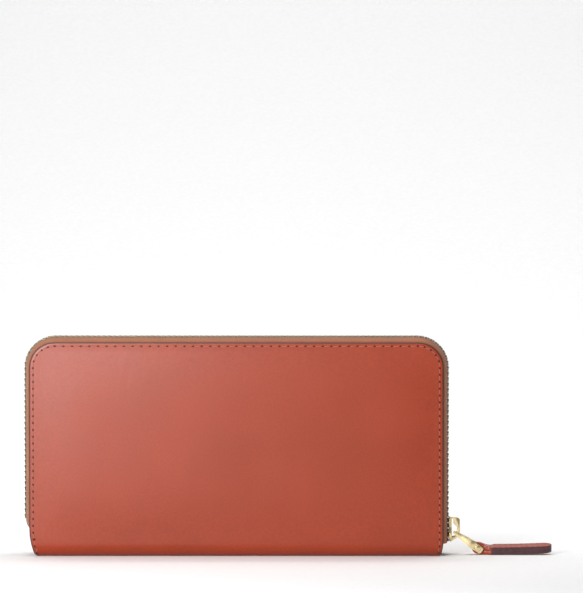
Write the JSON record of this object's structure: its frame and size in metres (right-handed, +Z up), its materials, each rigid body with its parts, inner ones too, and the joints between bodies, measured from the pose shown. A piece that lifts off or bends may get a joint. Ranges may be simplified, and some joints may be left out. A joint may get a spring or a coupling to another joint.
{
  "type": "zip around wallet",
  "caption": "Long zip-around leather wallet with card slots, note compartments, a zipped coin pocket and a leather puller.",
  "frame": {"origin": "middle of the spine's flat underside, on which the closed wallet stands", "axes": "+X along the wallet towards the closed zip's slider, +Y from the front cover to the back cover, +Z up"},
  "size_m": [0.2473, 0.0254, 0.1029],
  "materials": {
    "outer_leather": "smooth waxed grain, soft sheen",
    "tab_leather": "smooth, painted edges",
    "inner_leather": "matt, fine grain",
    "board": "bonded leather fibre board, matt",
    "lining_fabric": "plain woven, matt",
    "zip_tape": "herringbone woven, matt",
    "coin_zip_tape": "woven, matt",
    "zip_metal": "polished, slightly worn",
    "coin_zip_metal": "polished",
    "puller_brass": "polished",
    "thread": "waxed thread"
  },
  "bodies": {
    "back_cover": {"outer_leather_back": "outer_leather", "spine_lining": "lining_fabric", "back_board": "board", "back_lining": "lining_fabric", "back_slip_pocket": "inner_leather", "back_card_slot_1": "inner_leather", "back_card_slot_2": "inner_leather", "back_card_slot_3": "inner_leather", "back_card_slot_4": "inner_leather", "back_zip_tape": "zip_tape", "back_teeth_side": "zip_metal", "back_teeth_top": "zip_metal", "back_zip_stop": "zip_metal", "back_seam_thread": "thread", "back_left_gusset": "inner_leather", "back_right_gusset": "inner_leather"},
    "front_cover": {"outer_leather_front": "outer_leather", "front_board": "board", "front_lining": "lining_fabric", "front_slip_pocket": "inner_leather", "front_card_slot_1": "inner_leather", "front_card_slot_2": "inner_leather", "front_card_slot_3": "inner_leather", "front_card_slot_4": "inner_leather", "front_zip_tape": "zip_tape", "front_teeth_side": "zip_metal", "front_teeth_top": "zip_metal", "front_zip_stop": "zip_metal", "front_seam_thread": "thread", "front_left_gusset": "inner_leather", "front_right_gusset": "inner_leather"},
    "coin_pocket": {"coin_pocket_front": "inner_leather", "coin_pocket_back": "inner_leather", "coin_pocket_lining": "lining_fabric", "coin_zip_front_tape": "coin_zip_tape", "coin_zip_back_tape": "coin_zip_tape", "coin_zip_front_teeth": "coin_zip_metal", "coin_zip_back_teeth": "coin_zip_metal", "coin_zip_stops": "coin_zip_metal"},
    "zip_slider": {"slider_body": "puller_brass", "slider_crown": "puller_brass"},
    "pull_yoke": {"pull_yoke": "puller_brass", "pull_pin": "puller_brass"},
    "pull_tab": {"pull_tab": "tab_leather", "pull_tab_thread": "thread"},
    "coin_slider": {"coin_slider": "coin_zip_metal"},
    "coin_puller": {"coin_puller": "coin_zip_metal"}
  },
  "joints": [
    {"name": "front_cover_open", "type": "hinge", "parent": "back_cover", "child": "front_cover", "pos_m": [0, -0.01074, 0.00176], "axis": [1, 0, 0], "range_deg": [0, 60], "deforming": ["front_left_gusset", "front_right_gusset"]},
    {"name": "coin_pocket_swing", "type": "hinge", "parent": "back_cover", "child": "coin_pocket", "pos_m": [0, -0.01074, 0.00176], "axis": [1, 0, 0], "range_deg": [0, 30], "deforming": ["back_left_gusset", "back_right_gusset"]},
    {"name": "slider_travel", "type": "slide", "parent": "back_cover", "child": "zip_slider", "axis": [0, 0, 1], "range_m": [0, 0.066], "deforming": ["front_teeth_side", "back_teeth_side"]},
    {"name": "pull_swing", "type": "hinge", "parent": "zip_slider", "child": "pull_yoke", "pos_m": [0.10225, 0, 0.0104], "axis": [0, -1, 0], "range_deg": [-53, 98]},
    {"name": "tab_swing", "type": "hinge", "parent": "pull_yoke", "child": "pull_tab", "pos_m": [0.11295, 0, 0.0032], "axis": [0, 1, 0], "range_deg": [-80, 84]},
    {"name": "coin_slider_travel", "type": "slide", "parent": "coin_pocket", "child": "coin_slider", "axis": [-1, 0, 0], "range_m": [0, 0.145], "deforming": ["coin_zip_front_teeth", "coin_zip_back_teeth"]},
    {"name": "coin_pull_swing", "type": "hinge", "parent": "coin_slider", "child": "coin_puller", "pos_m": [0.0796, 0, 0.08055], "axis": [0, 1, 0], "range_deg": [0, 172]}
  ],
  "couplings": [
    {"joint": "coin_pocket_swing", "follows": "front_cover_open", "ratio": 0.5}
  ]
}
